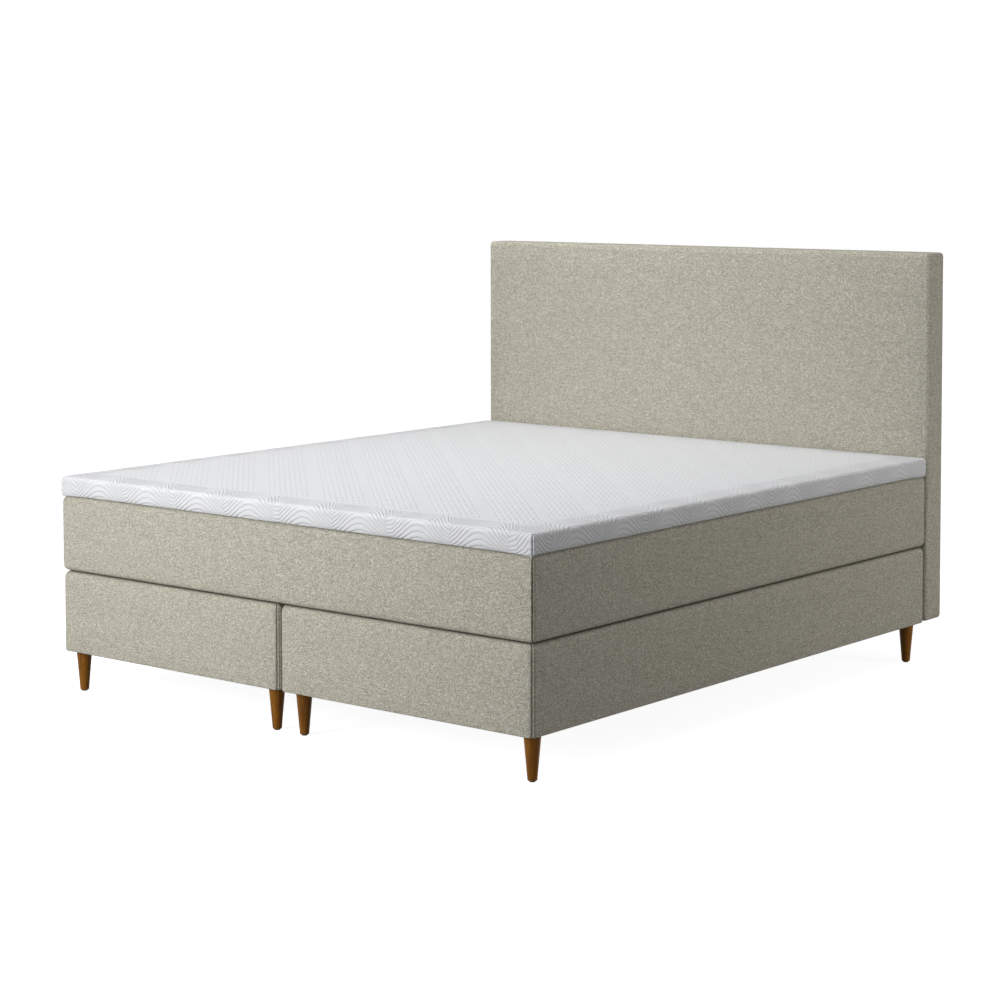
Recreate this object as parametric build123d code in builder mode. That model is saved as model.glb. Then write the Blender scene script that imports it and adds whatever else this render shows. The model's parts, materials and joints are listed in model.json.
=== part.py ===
from build123d import *
import os

# Box spring bed: two sprung bases side by side on turned legs, one pocket-spring mattress across both,
# a zipped topper on that, and a padded headboard bolted to the bases' head ends.
# X runs across the bed, +Y towards the head, +Z up. The origin is on the floor, under the middle.
# All lengths are in millimetres.

# The bed as a whole
bed_width = 1800
bed_length = 2000
ground_clearance = 124
base_height = 242
mattress_height = 226
topper_height = 57
headboard_height = 1173
headboard_thickness = 93
headboard_gap = 5
base_gap = 5.5
layer_gap = 0.3
fit_gap = 0.3
cut_overrun = 5
crown_root = 2

# Covers: a sewn cover has a padded wall, and an outward crown between its rounded edges
base_wall = 3
base_corner = 32
base_top_round = 18
base_bevel = 10
turned_bevel = 2.5
base_crown = 2.5
base_top_lip = 110
base_bottom_lip = 24
cloth_thickness = 1.5
mattress_wall = 4
mattress_corner = 20
mattress_round = 17
mattress_bevel = 9
mattress_crown = 3
mattress_lip = 28
panel_thickness = 2.5
topper_wall = 3.5
topper_corner = 22
topper_round = 18
topper_bevel = 9
topper_hem_bevel = 6
topper_side_crown = 2
topper_overhang = 4
topper_lip = 16
topper_crown = 5
topper_shoulder = 55
topper_plateau = 210
shoulder_rise_share = 0.65

# Base frame: sawn softwood
rail_thickness = 22
rail_height = 112
slat_width = 70
slat_thickness = 18
slat_count = 11
slat_end_margin = 5
slat_first_inset = 62
block_size = 64
block_height = 70

# Springs, felts and foams
felt_thickness = 4
base_pad_thickness = 24
base_edge_foam = 36
base_pocket_columns = 13
base_pocket_rows = 29
pocket_bulge = 2
mattress_base_foam = 20
mattress_comfort_foam = 45
mattress_edge_foam = 60
mattress_pocket_columns = 26
mattress_pocket_rows = 29

# Legs and their fittings
leg_top_radius = 23.5
leg_foot_radius = 13
leg_foot_bevel = 2
outer_leg_inset = 40
inner_leg_inset = 50
end_leg_inset = 49
glide_radius = 8
glide_height = 3
bolt_radius = 4
bolt_hole_clearance = 0.4
leg_bolt_embed = 32
leg_bolt_rise = 24
insert_radius = 6
insert_length = 20
insert_clearance = 0.1
cloth_hole_size = 15
pin_flats = 8

# Plates that join the two bases underneath
plate_length = 84
plate_width = 44
plate_thickness = 2
plate_corner = 6
plate_inset = 260

# Headboard
headboard_wall = 3
headboard_corner = 13
headboard_round = 12
headboard_bevel = 5
headboard_crown = 1
headboard_lip = 26
back_board_thickness = 4
post_width = 60
post_depth = 42
top_rail_height = 60
lower_rail_height = 120
front_board_thickness = 12
headboard_bolt_height = 70
headboard_bolt_spacing = 400
bolt_head_radius = 8.5
bolt_head_height = 2.5
spacer_radius = 9

# Heights and places that follow
base_bottom = ground_clearance
base_top = base_bottom + base_height
mattress_bottom = base_top + layer_gap
mattress_top = mattress_bottom + mattress_height
topper_bottom = mattress_top + layer_gap
foot_y = -(bed_length + headboard_gap + headboard_thickness) / 2
head_y = foot_y + bed_length
bed_middle_y = (foot_y + head_y) / 2
headboard_front_y = head_y + headboard_gap
headboard_back_y = headboard_front_y + headboard_thickness
base_width = (bed_width - base_gap) / 2
base_middle_x = (bed_width + base_gap) / 4

os.makedirs("parts", exist_ok=True)


def save(piece, name):
    piece.label = name
    export_step(piece, f"parts/{name}.step")


def hollow_block(place, width, length, height, corner, top_bevel=0, bottom_bevel=0):
    """The space in a cover: rounded corners in plan, and bevels behind the cover's rounded edges."""
    with BuildPart() as block:
        with BuildSketch(place):
            RectangleRounded(width, length, corner)
        extrude(amount=height)
        along = Axis(place.origin, place.z_dir)
        if top_bevel:
            chamfer(block.faces().sort_by(along)[-1].edges(), top_bevel)
        if bottom_bevel:
            chamfer(block.faces().sort_by(along)[0].edges(), bottom_bevel)
    return block.part


def filling(place, width, length, height, corner, top_bevel=0, bottom_bevel=0):
    """A slab of what fills a cover, with its corners cut straight to clear the cover's rounded ones."""
    with BuildPart() as slab:
        with BuildSketch(place) as outline:
            Rectangle(width, length)
            chamfer(outline.vertices(), corner)
        extrude(amount=height)
        along = Axis(place.origin, place.z_dir)
        if top_bevel:
            chamfer(slab.faces().sort_by(along)[-1].edges(), top_bevel)
        if bottom_bevel:
            chamfer(slab.faces().sort_by(along)[0].edges(), bottom_bevel)
    return slab.part


def flat_panel(place, width, length, thickness):
    """A plain rectangular sheet, standing on the middle of its place."""
    with BuildPart() as sheet:
        with BuildSketch(place):
            Rectangle(width, length)
        extrude(amount=thickness)
    return sheet.part


def padded_body(place, width, length, height, corner, top_round, crown, bottom_round=0, bottom_bevel=0):
    """A rounded slab whose four sides swell outward by the crown between the eased edges."""
    half_x = width / 2
    half_y = length / 2
    low = bottom_round + bottom_bevel
    high = height - top_round
    with BuildPart() as body:
        with BuildSketch(place):
            RectangleRounded(width, length, corner)
        extrude(amount=height)
        along = Axis(place.origin, place.z_dir)
        fillet(body.faces().sort_by(along)[-1].edges(), top_round)
        if bottom_round:
            fillet(body.faces().sort_by(along)[0].edges(), bottom_round)
        if bottom_bevel:
            chamfer(body.faces().sort_by(along)[0].edges(), bottom_bevel)
        with BuildLine(place) as wall_path:
            run = Line((half_x, 0), (half_x, half_y - corner))
            for next_run in (width, length, width, half_y + corner):
                turn = JernArc(run @ 1, run % 1, corner, 90)
                run = Line(turn @ 1, (turn @ 1) + (turn % 1) * (next_run - 2 * corner))
        with BuildSketch(Plane(place.origin, place.x_dir, -place.y_dir)):
            with BuildLine():
                ThreePointArc((half_x, low), (half_x + crown, (low + high) / 2), (half_x, high))
                Polyline(
                    (half_x, high),
                    (half_x - crown_root, high),
                    (half_x - crown_root, low),
                    (half_x, low),
                )
            make_face()
        sweep(path=wall_path.wires()[0])
    return body.part


def edge_foam(place, width, length, height, corner, foam_width):
    """A frame of firm foam round a spring core."""
    with BuildPart() as foam:
        add(filling(place, width, length, height, corner))
        with BuildSketch(place):
            Rectangle(width - 2 * foam_width, length - 2 * foam_width)
        extrude(amount=height, mode=Mode.SUBTRACT)
    return foam.part


def pocket_core(place, width, length, height, columns, rows):
    """A block of pocketed springs glued in rows: each outer pocket bulges between its neighbours."""
    half_x = width / 2 - pocket_bulge
    half_y = length / 2 - pocket_bulge
    corners = [(-half_x, -half_y), (half_x, -half_y), (half_x, half_y), (-half_x, half_y)]
    with BuildPart() as core:
        with BuildSketch(place):
            with BuildLine():
                for side, count in enumerate((columns, rows, columns, rows)):
                    start = Vector(*corners[side])
                    end = Vector(*corners[(side + 1) % len(corners)])
                    step = (end - start) / count
                    outward = Vector(step.Y, -step.X).normalized() * pocket_bulge
                    for pocket in range(count):
                        valley = start + step * pocket
                        ThreePointArc(valley, valley + step / 2 + outward, valley + step)
            make_face()
        extrude(amount=height)
    return core.part


# Bases: one each side of the bed's middle

base_inner_width = base_width - 2 * (base_wall + fit_gap)
base_inner_length = bed_length - 2 * (base_wall + fit_gap)
base_inner_corner = base_corner - base_wall - fit_gap
frame_bottom = base_bottom + cloth_thickness
rails_top = frame_bottom + rail_height
slats_top = rails_top + slat_thickness
base_springs_bottom = slats_top + felt_thickness
base_pad_top = base_top - base_wall - fit_gap
base_pad_bottom = base_pad_top - base_pad_thickness
base_springs_top = base_pad_bottom - felt_thickness
base_springs_height = base_springs_top - base_springs_bottom
end_rail_y = base_inner_length / 2 - rail_thickness / 2
long_rail_x = base_inner_width / 2 - rail_thickness / 2
block_x = base_inner_width / 2 - rail_thickness - block_size / 2
block_y = base_inner_length / 2 - rail_thickness - block_size / 2
headboard_bolt_z = base_bottom + headboard_bolt_height
end_rail_face_y = head_y - base_wall - fit_gap


def leg_places(side):
    """The four leg axes of one base: side is -1 for the left base and 1 for the right."""
    outer_x = side * (bed_width / 2 - outer_leg_inset)
    inner_x = side * (base_gap / 2 + inner_leg_inset)
    foot_leg_y = foot_y + end_leg_inset
    head_leg_y = head_y - end_leg_inset
    return [
        (outer_x, foot_leg_y),
        (inner_x, foot_leg_y),
        (outer_x, head_leg_y),
        (inner_x, head_leg_y),
    ]


def headboard_bolt_places(sides):
    """The headboard bolts' axes, as X and Z, two for each base."""
    return [
        (side * base_middle_x + across, headboard_bolt_z)
        for side in sides
        for across in (-headboard_bolt_spacing / 2, headboard_bolt_spacing / 2)
    ]


def upright_pins(places, bottom, radius, height, bore=0):
    """Hidden pins or their holes, drawn with flats, which stand on axes given as X and Y."""
    with BuildPart() as pins:
        with BuildSketch(Plane.XY.offset(bottom)):
            with Locations(*places):
                RegularPolygon(radius, pin_flats)
                if bore:
                    RegularPolygon(bore, pin_flats, mode=Mode.SUBTRACT)
        extrude(amount=height)
    return pins.part


def level_pins(places, front, radius, length, bore=0):
    """Hidden pins or their holes that run towards the head, on axes given as X and Z."""
    with BuildPart() as pins:
        with BuildSketch(Plane.XZ.offset(-front)):
            with Locations(*places):
                RegularPolygon(radius, pin_flats)
                if bore:
                    RegularPolygon(bore, pin_flats, mode=Mode.SUBTRACT)
        extrude(amount=-length)
    return pins.part


def base_cover(side, middle):
    """The upholstered border, turned in over the top and under the frame."""
    place = middle.offset(base_bottom)
    inner = middle.offset(frame_bottom)
    hollow_height = base_top - base_wall - frame_bottom
    with BuildPart() as cover:
        add(
            padded_body(
                place,
                base_width,
                bed_length,
                base_height,
                base_corner,
                base_top_round,
                base_crown,
                bottom_bevel=turned_bevel,
            )
        )
        add(
            hollow_block(
                inner,
                base_width - 2 * base_wall,
                bed_length - 2 * base_wall,
                hollow_height,
                base_corner - base_wall,
                base_bevel,
            ),
            mode=Mode.SUBTRACT,
        )
        with BuildSketch(place.offset(-cut_overrun)):
            Rectangle(base_width - 2 * base_bottom_lip, bed_length - 2 * base_bottom_lip)
        extrude(amount=base_height / 2, mode=Mode.SUBTRACT)
        with BuildSketch(place.offset(base_height + cut_overrun)):
            Rectangle(base_width - 2 * base_top_lip, bed_length - 2 * base_top_lip)
        extrude(amount=-(base_wall + 2 * cut_overrun), mode=Mode.SUBTRACT)
        add(
            level_pins(
                headboard_bolt_places([side]),
                end_rail_face_y - cut_overrun,
                spacer_radius + fit_gap,
                base_wall + base_crown + 3 * cut_overrun,
            ),
            mode=Mode.SUBTRACT,
        )
    return cover.part


def dust_cover(side, middle):
    """The cloth stapled under the frame, with a square cut out round each leg bolt."""
    with BuildPart() as cloth:
        add(
            flat_panel(
                middle.offset(base_bottom),
                base_width - 2 * (base_bottom_lip + fit_gap),
                bed_length - 2 * (base_bottom_lip + fit_gap),
                cloth_thickness,
            )
        )
        with BuildSketch(Plane.XY.offset(base_bottom)):
            with Locations(*leg_places(side)):
                Rectangle(cloth_hole_size, cloth_hole_size)
        extrude(amount=cloth_thickness, mode=Mode.SUBTRACT)
    return cloth.part


def frame_outline(middle):
    """The space within the cover's rounded corners, which the frame's outer corners are cut to."""
    return filling(
        middle.offset(frame_bottom), base_inner_width, base_inner_length, rail_height, base_inner_corner
    )


def long_rails(middle):
    """Two side rails and a middle rail."""
    with BuildPart() as rails:
        with BuildSketch(middle.offset(frame_bottom)):
            with GridLocations(2 * long_rail_x, 0, 2, 1):
                Rectangle(rail_thickness, base_inner_length)
            Rectangle(rail_thickness, base_inner_length - 2 * rail_thickness)
        extrude(amount=rail_height)
        add(frame_outline(middle), mode=Mode.INTERSECT)
    return rails.part


def end_rails(side, middle):
    """The foot and head rails, between the side rails; the head rail is bored for the headboard."""
    with BuildPart() as rails:
        with BuildSketch(middle.offset(frame_bottom)):
            with GridLocations(0, 2 * end_rail_y, 1, 2):
                Rectangle(base_inner_width - 2 * rail_thickness, rail_thickness)
        extrude(amount=rail_height)
        add(frame_outline(middle), mode=Mode.INTERSECT)
        add(
            level_pins(
                headboard_bolt_places([side]),
                end_rail_face_y - rail_thickness - cut_overrun,
                bolt_radius + bolt_hole_clearance,
                rail_thickness + 2 * cut_overrun,
            ),
            mode=Mode.SUBTRACT,
        )
    return rails.part


def corner_blocks(side, middle):
    """Glued blocks inside the four corners, bored for the legs' insert nuts."""
    with BuildPart() as blocks:
        with BuildSketch(middle.offset(frame_bottom)):
            with GridLocations(2 * block_x, 2 * block_y, 2, 2):
                Rectangle(block_size, block_size)
        extrude(amount=block_height)
        add(
            upright_pins(
                leg_places(side),
                frame_bottom - cut_overrun,
                insert_radius + insert_clearance,
                cut_overrun + leg_bolt_rise + cut_overrun,
            ),
            mode=Mode.SUBTRACT,
        )
    return blocks.part


def slats(middle):
    """Cross slats on top of the rails, evenly spaced."""
    slat_pitch = (base_inner_length - 2 * slat_first_inset) / (slat_count - 1)
    with BuildPart() as boards:
        with BuildSketch(middle.offset(rails_top)):
            with GridLocations(0, slat_pitch, 1, slat_count):
                Rectangle(base_inner_width - 2 * slat_end_margin, slat_width)
        extrude(amount=slat_thickness)
    return boards.part


def felts(middle, width, length, corner, heights):
    """Felt insulators under and over a spring core."""
    with BuildPart() as sheets:
        for height in heights:
            add(filling(middle.offset(height), width, length, felt_thickness, corner))
    return sheets.part


def platform_cloth(middle):
    """The plain cloth that fills the cover's top opening, under the mattress."""
    return flat_panel(
        middle.offset(base_top - base_wall),
        base_width - 2 * (base_top_lip + fit_gap),
        bed_length - 2 * (base_top_lip + fit_gap),
        cloth_thickness,
    )


for side, name in ((-1, "left_base"), (1, "right_base")):
    middle = Plane((side * base_middle_x, bed_middle_y, 0))
    save(base_cover(side, middle), f"{name}_cover")
    save(dust_cover(side, middle), f"{name}_dust_cover")
    save(long_rails(middle), f"{name}_long_rails")
    save(end_rails(side, middle), f"{name}_end_rails")
    save(corner_blocks(side, middle), f"{name}_corner_blocks")
    save(slats(middle), f"{name}_slats")
    felt_heights = (slats_top, base_springs_top)
    save(
        felts(middle, base_inner_width, base_inner_length, base_inner_corner, felt_heights),
        f"{name}_felts",
    )
    save(
        edge_foam(
            middle.offset(base_springs_bottom),
            base_inner_width,
            base_inner_length,
            base_springs_height,
            base_inner_corner,
            base_edge_foam,
        ),
        f"{name}_edge_foam",
    )
    save(
        pocket_core(
            middle.offset(base_springs_bottom),
            base_inner_width - 2 * (base_edge_foam + fit_gap),
            base_inner_length - 2 * (base_edge_foam + fit_gap),
            base_springs_height,
            base_pocket_columns,
            base_pocket_rows,
        ),
        f"{name}_spring_core",
    )
    save(
        filling(
            middle.offset(base_pad_bottom),
            base_inner_width,
            base_inner_length,
            base_pad_thickness,
            base_inner_corner,
            base_bevel,
        ),
        f"{name}_foam_pad",
    )
    save(platform_cloth(middle), f"{name}_platform_cloth")

# Legs: turned and tapered, each on a bolt that runs up into an insert nut


def turned_legs(places):
    """Turned legs that taper to a bevelled foot, each bored from the top for its bolt."""
    leg_height = ground_clearance - glide_height
    with BuildPart() as legs:
        for x, y in places:
            with BuildSketch(Plane((x, y, glide_height), x_dir=(1, 0, 0), z_dir=(0, -1, 0))):
                Polygon(
                    (0, 0),
                    (leg_foot_radius - leg_foot_bevel, 0),
                    (leg_foot_radius, leg_foot_bevel),
                    (leg_top_radius, leg_height),
                    (0, leg_height),
                    align=None,
                )
            revolve(axis=Axis((x, y, 0), (0, 0, 1)))
        add(
            upright_pins(
                places,
                ground_clearance - leg_bolt_embed,
                bolt_radius + insert_clearance,
                leg_bolt_embed,
            ),
            mode=Mode.SUBTRACT,
        )
    return legs.part


save(turned_legs(leg_places(-1)), "left_base_legs")
save(turned_legs(leg_places(1)), "right_base_legs")
all_leg_places = leg_places(-1) + leg_places(1)

leg_bolt_bottom = base_bottom - leg_bolt_embed + fit_gap
leg_bolt_top = frame_bottom + leg_bolt_rise
save(
    upright_pins(all_leg_places, leg_bolt_bottom, bolt_radius, leg_bolt_top - leg_bolt_bottom),
    "leg_bolts",
)
save(
    upright_pins(
        all_leg_places, frame_bottom, insert_radius, insert_length, bolt_radius + insert_clearance
    ),
    "leg_insert_nuts",
)

with BuildPart() as leg_glides:
    with BuildSketch():
        with Locations(*all_leg_places):
            Circle(glide_radius)
    extrude(amount=glide_height)
save(leg_glides.part, "leg_glides")

# Plates that join the two bases underneath

with BuildPart() as joining_plates:
    with BuildSketch(Plane((0, bed_middle_y, base_bottom - plate_thickness))) as plates_outline:
        with GridLocations(0, bed_length - 2 * plate_inset, 1, 2):
            Rectangle(plate_length, plate_width)
        chamfer(plates_outline.vertices(), plate_corner)
    extrude(amount=plate_thickness)
save(joining_plates.part, "joining_plates")

# Mattress: pocket springs in a foam box, in one cover

mattress_middle = Plane((0, bed_middle_y, 0))
mattress_inner_width = bed_width - 2 * (mattress_wall + fit_gap)
mattress_inner_length = bed_length - 2 * (mattress_wall + fit_gap)
mattress_inner_corner = mattress_corner - mattress_wall - fit_gap
mattress_inner_bottom = mattress_bottom + mattress_wall + fit_gap
mattress_inner_top = mattress_top - mattress_wall - fit_gap
comfort_foam_bottom = mattress_inner_top - mattress_comfort_foam
upper_felt_bottom = comfort_foam_bottom - felt_thickness
lower_felt_bottom = mattress_inner_bottom + mattress_base_foam
mattress_springs_bottom = lower_felt_bottom + felt_thickness
mattress_springs_height = upper_felt_bottom - mattress_springs_bottom

with BuildPart() as mattress_border:
    add(
        padded_body(
            mattress_middle.offset(mattress_bottom),
            bed_width,
            bed_length,
            mattress_height,
            mattress_corner,
            mattress_round,
            mattress_crown,
            bottom_round=mattress_round,
        )
    )
    add(
        hollow_block(
            mattress_middle.offset(mattress_bottom + mattress_wall),
            bed_width - 2 * mattress_wall,
            bed_length - 2 * mattress_wall,
            mattress_height - 2 * mattress_wall,
            mattress_corner - mattress_wall,
            mattress_bevel,
            mattress_bevel,
        ),
        mode=Mode.SUBTRACT,
    )
    with BuildSketch(mattress_middle.offset(mattress_bottom - cut_overrun)):
        Rectangle(bed_width - 2 * mattress_lip, bed_length - 2 * mattress_lip)
    extrude(amount=mattress_height + 2 * cut_overrun, mode=Mode.SUBTRACT)
save(mattress_border.part, "mattress_border")

mattress_panel_width = bed_width - 2 * (mattress_lip + fit_gap)
mattress_panel_length = bed_length - 2 * (mattress_lip + fit_gap)
panel_levels = {
    "mattress_top_panel": mattress_top - mattress_wall,
    "mattress_bottom_panel": mattress_bottom + mattress_wall - panel_thickness,
}
for name, level in panel_levels.items():
    panel = flat_panel(
        mattress_middle.offset(level), mattress_panel_width, mattress_panel_length, panel_thickness
    )
    save(panel, name)

save(
    filling(
        mattress_middle.offset(mattress_inner_bottom),
        mattress_inner_width,
        mattress_inner_length,
        mattress_base_foam,
        mattress_inner_corner,
        bottom_bevel=mattress_bevel,
    ),
    "mattress_base_foam",
)
save(
    filling(
        mattress_middle.offset(comfort_foam_bottom),
        mattress_inner_width,
        mattress_inner_length,
        mattress_comfort_foam,
        mattress_inner_corner,
        mattress_bevel,
    ),
    "mattress_comfort_foam",
)
save(
    felts(
        mattress_middle,
        mattress_inner_width,
        mattress_inner_length,
        mattress_inner_corner,
        (lower_felt_bottom, upper_felt_bottom),
    ),
    "mattress_felts",
)
save(
    edge_foam(
        mattress_middle.offset(mattress_springs_bottom),
        mattress_inner_width,
        mattress_inner_length,
        mattress_springs_height,
        mattress_inner_corner,
        mattress_edge_foam,
    ),
    "mattress_edge_foam",
)
save(
    pocket_core(
        mattress_middle.offset(mattress_springs_bottom),
        mattress_inner_width - 2 * (mattress_edge_foam + fit_gap),
        mattress_inner_length - 2 * (mattress_edge_foam + fit_gap),
        mattress_springs_height,
        mattress_pocket_columns,
        mattress_pocket_rows,
    ),
    "mattress_spring_core",
)

# Topper: a foam core in a knitted cover that is crowned on top, with a plain underside

topper_width = bed_width + 2 * topper_overhang
topper_length = bed_length + topper_overhang
topper_middle = Plane((0, head_y - topper_length / 2, topper_bottom))
topper_levels = (
    (topper_round, 0),
    (topper_shoulder, topper_crown * shoulder_rise_share),
    (topper_plateau, topper_crown),
)

with BuildPart() as topper_cover:
    add(
        padded_body(
            topper_middle,
            topper_width,
            topper_length,
            topper_height,
            topper_corner,
            topper_round,
            topper_side_crown,
            bottom_bevel=topper_hem_bevel,
        )
    )
    for inset, rise in topper_levels:
        with BuildSketch(topper_middle.offset(topper_height + rise)):
            RectangleRounded(topper_width - 2 * inset, topper_length - 2 * inset, topper_corner)
    loft(ruled=True)
    add(
        hollow_block(
            topper_middle.offset(topper_wall),
            topper_width - 2 * topper_wall,
            topper_length - 2 * topper_wall,
            topper_height - 2 * topper_wall,
            topper_corner - topper_wall,
            topper_bevel,
            topper_hem_bevel,
        ),
        mode=Mode.SUBTRACT,
    )
    with BuildSketch(topper_middle.offset(-cut_overrun)):
        Rectangle(topper_width - 2 * topper_lip, topper_length - 2 * topper_lip)
    extrude(amount=topper_height / 2, mode=Mode.SUBTRACT)
save(topper_cover.part, "topper_cover")

save(
    flat_panel(
        topper_middle.offset(topper_wall - cloth_thickness),
        topper_width - 2 * (topper_lip + fit_gap),
        topper_length - 2 * (topper_lip + fit_gap),
        cloth_thickness,
    ),
    "topper_underside",
)
save(
    filling(
        topper_middle.offset(topper_wall + fit_gap),
        topper_width - 2 * (topper_wall + fit_gap),
        topper_length - 2 * (topper_wall + fit_gap),
        topper_height - 2 * (topper_wall + fit_gap),
        topper_corner - topper_wall - fit_gap,
        topper_bevel,
        topper_hem_bevel,
    ),
    "topper_foam_core",
)

# Headboard: a boarded frame, padded in front and at the edges, bolted to both bases.
# Its place looks at it from the back: the local height runs from the back cloth to the front.

headboard_middle_z = base_bottom + headboard_height / 2
headboard_place = Plane((0, headboard_back_y, headboard_middle_z), (1, 0, 0), (0, -1, 0))
headboard_inner_width = bed_width - 2 * (headboard_wall + fit_gap)
headboard_inner_height = headboard_height - 2 * (headboard_wall + fit_gap)
headboard_inner_corner = headboard_corner - headboard_wall - fit_gap
back_board_back = cloth_thickness
frame_back = back_board_back + back_board_thickness
front_board_back = frame_back + post_depth
foam_back = front_board_back + front_board_thickness
foam_thickness = headboard_thickness - headboard_wall - fit_gap - foam_back
front_board_y = headboard_back_y - foam_back
headboard_rail_y = headboard_back_y - front_board_back
rail_span = (headboard_inner_width - 3 * post_width) / 2
rail_x = (post_width + rail_span) / 2
post_x = (headboard_inner_width - post_width) / 2
all_bolt_places = headboard_bolt_places((-1, 1))
spacer_length = front_board_y - end_rail_face_y

with BuildPart() as headboard_cover:
    add(
        padded_body(
            headboard_place,
            bed_width,
            headboard_height,
            headboard_thickness,
            headboard_corner,
            headboard_round,
            headboard_crown,
            bottom_bevel=turned_bevel,
        )
    )
    add(
        hollow_block(
            headboard_place.offset(cloth_thickness),
            bed_width - 2 * headboard_wall,
            headboard_height - 2 * headboard_wall,
            headboard_thickness - headboard_wall - cloth_thickness,
            headboard_corner - headboard_wall,
            headboard_bevel,
        ),
        mode=Mode.SUBTRACT,
    )
    with BuildSketch(headboard_place.offset(-cut_overrun)):
        Rectangle(bed_width - 2 * headboard_lip, headboard_height - 2 * headboard_lip)
    extrude(amount=headboard_thickness / 2, mode=Mode.SUBTRACT)
    add(
        level_pins(
            all_bolt_places,
            headboard_front_y - cut_overrun,
            spacer_radius + fit_gap,
            headboard_wall + 2 * cut_overrun,
        ),
        mode=Mode.SUBTRACT,
    )
save(headboard_cover.part, "headboard_cover")

save(
    flat_panel(
        headboard_place,
        bed_width - 2 * (headboard_lip + fit_gap),
        headboard_height - 2 * (headboard_lip + fit_gap),
        cloth_thickness,
    ),
    "headboard_back_cloth",
)
save(
    filling(
        headboard_place.offset(back_board_back),
        headboard_inner_width,
        headboard_inner_height,
        back_board_thickness,
        headboard_inner_corner,
    ),
    "headboard_back_board",
)

with BuildPart() as headboard_posts:
    with BuildSketch(headboard_place.offset(frame_back)) as posts_outline:
        Rectangle(headboard_inner_width, headboard_inner_height)
        chamfer(posts_outline.vertices(), headboard_inner_corner)
        with GridLocations(post_x, 0, 3, 1):
            Rectangle(post_width, headboard_inner_height, mode=Mode.INTERSECT)
    extrude(amount=post_depth)
save(headboard_posts.part, "headboard_posts")

with BuildPart() as headboard_rails:
    low_rail_middle = -(headboard_inner_height - lower_rail_height) / 2
    top_rail_middle = (headboard_inner_height - top_rail_height) / 2
    with BuildSketch(headboard_place.offset(frame_back)):
        with Locations((-rail_x, low_rail_middle), (rail_x, low_rail_middle)):
            Rectangle(rail_span, lower_rail_height)
        with Locations((-rail_x, top_rail_middle), (rail_x, top_rail_middle)):
            Rectangle(rail_span, top_rail_height)
        with Locations((-rail_x, 0), (rail_x, 0)):
            Rectangle(rail_span, top_rail_height)
    extrude(amount=post_depth)
    add(
        level_pins(
            all_bolt_places,
            headboard_rail_y - cut_overrun,
            insert_radius + insert_clearance,
            insert_length + 2 * cut_overrun,
        ),
        mode=Mode.SUBTRACT,
    )
save(headboard_rails.part, "headboard_rails")

with BuildPart() as headboard_front_board:
    add(
        filling(
            headboard_place.offset(front_board_back),
            headboard_inner_width,
            headboard_inner_height,
            front_board_thickness,
            headboard_inner_corner,
        )
    )
    add(
        level_pins(
            all_bolt_places,
            front_board_y - cut_overrun,
            bolt_radius + bolt_hole_clearance,
            front_board_thickness + 2 * cut_overrun,
        ),
        mode=Mode.SUBTRACT,
    )
save(headboard_front_board.part, "headboard_front_board")

with BuildPart() as headboard_foam:
    add(
        filling(
            headboard_place.offset(foam_back),
            headboard_inner_width,
            headboard_inner_height,
            foam_thickness,
            headboard_inner_corner,
            headboard_bevel,
        )
    )
    add(
        level_pins(
            all_bolt_places,
            front_board_y - foam_thickness - cut_overrun,
            spacer_radius + fit_gap,
            foam_thickness + 2 * cut_overrun,
        ),
        mode=Mode.SUBTRACT,
    )
save(headboard_foam.part, "headboard_foam")


bolt_head_y = end_rail_face_y - rail_thickness
bolt_length = headboard_rail_y + insert_length - bolt_head_y
with BuildPart() as headboard_bolts:
    add(level_pins(all_bolt_places, bolt_head_y - bolt_head_height, bolt_head_radius, bolt_head_height))
    add(level_pins(all_bolt_places, bolt_head_y, bolt_radius, bolt_length))
save(headboard_bolts.part, "headboard_bolts")

save(
    level_pins(
        all_bolt_places,
        end_rail_face_y,
        spacer_radius,
        spacer_length,
        bolt_radius + bolt_hole_clearance,
    ),
    "headboard_spacers",
)
save(
    level_pins(
        all_bolt_places,
        headboard_rail_y,
        insert_radius,
        insert_length,
        bolt_radius + insert_clearance,
    ),
    "headboard_insert_nuts",
)
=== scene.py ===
import json
import math

import bpy
import numpy as np
from mathutils import Euler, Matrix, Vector, noise


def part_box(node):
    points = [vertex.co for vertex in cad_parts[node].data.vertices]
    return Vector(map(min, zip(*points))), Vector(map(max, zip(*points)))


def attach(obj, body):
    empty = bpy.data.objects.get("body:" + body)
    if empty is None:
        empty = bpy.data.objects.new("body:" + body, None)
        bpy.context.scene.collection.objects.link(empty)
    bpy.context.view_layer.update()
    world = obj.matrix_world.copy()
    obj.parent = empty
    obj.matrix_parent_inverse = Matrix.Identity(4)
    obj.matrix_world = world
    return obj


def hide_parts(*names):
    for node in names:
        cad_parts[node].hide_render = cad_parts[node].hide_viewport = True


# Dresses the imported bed: padded covers with their seams, the quilted topper, linings, wood and
# fittings. Lengths are in metres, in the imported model's own frame.

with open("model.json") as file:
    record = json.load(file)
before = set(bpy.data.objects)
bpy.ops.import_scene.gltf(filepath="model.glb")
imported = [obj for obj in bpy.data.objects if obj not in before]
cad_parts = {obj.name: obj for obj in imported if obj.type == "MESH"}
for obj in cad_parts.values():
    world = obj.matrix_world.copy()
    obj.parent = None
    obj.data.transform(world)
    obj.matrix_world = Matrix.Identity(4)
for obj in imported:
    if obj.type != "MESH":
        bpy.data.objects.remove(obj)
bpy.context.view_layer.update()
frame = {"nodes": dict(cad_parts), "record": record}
nodes = frame["nodes"]

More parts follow.
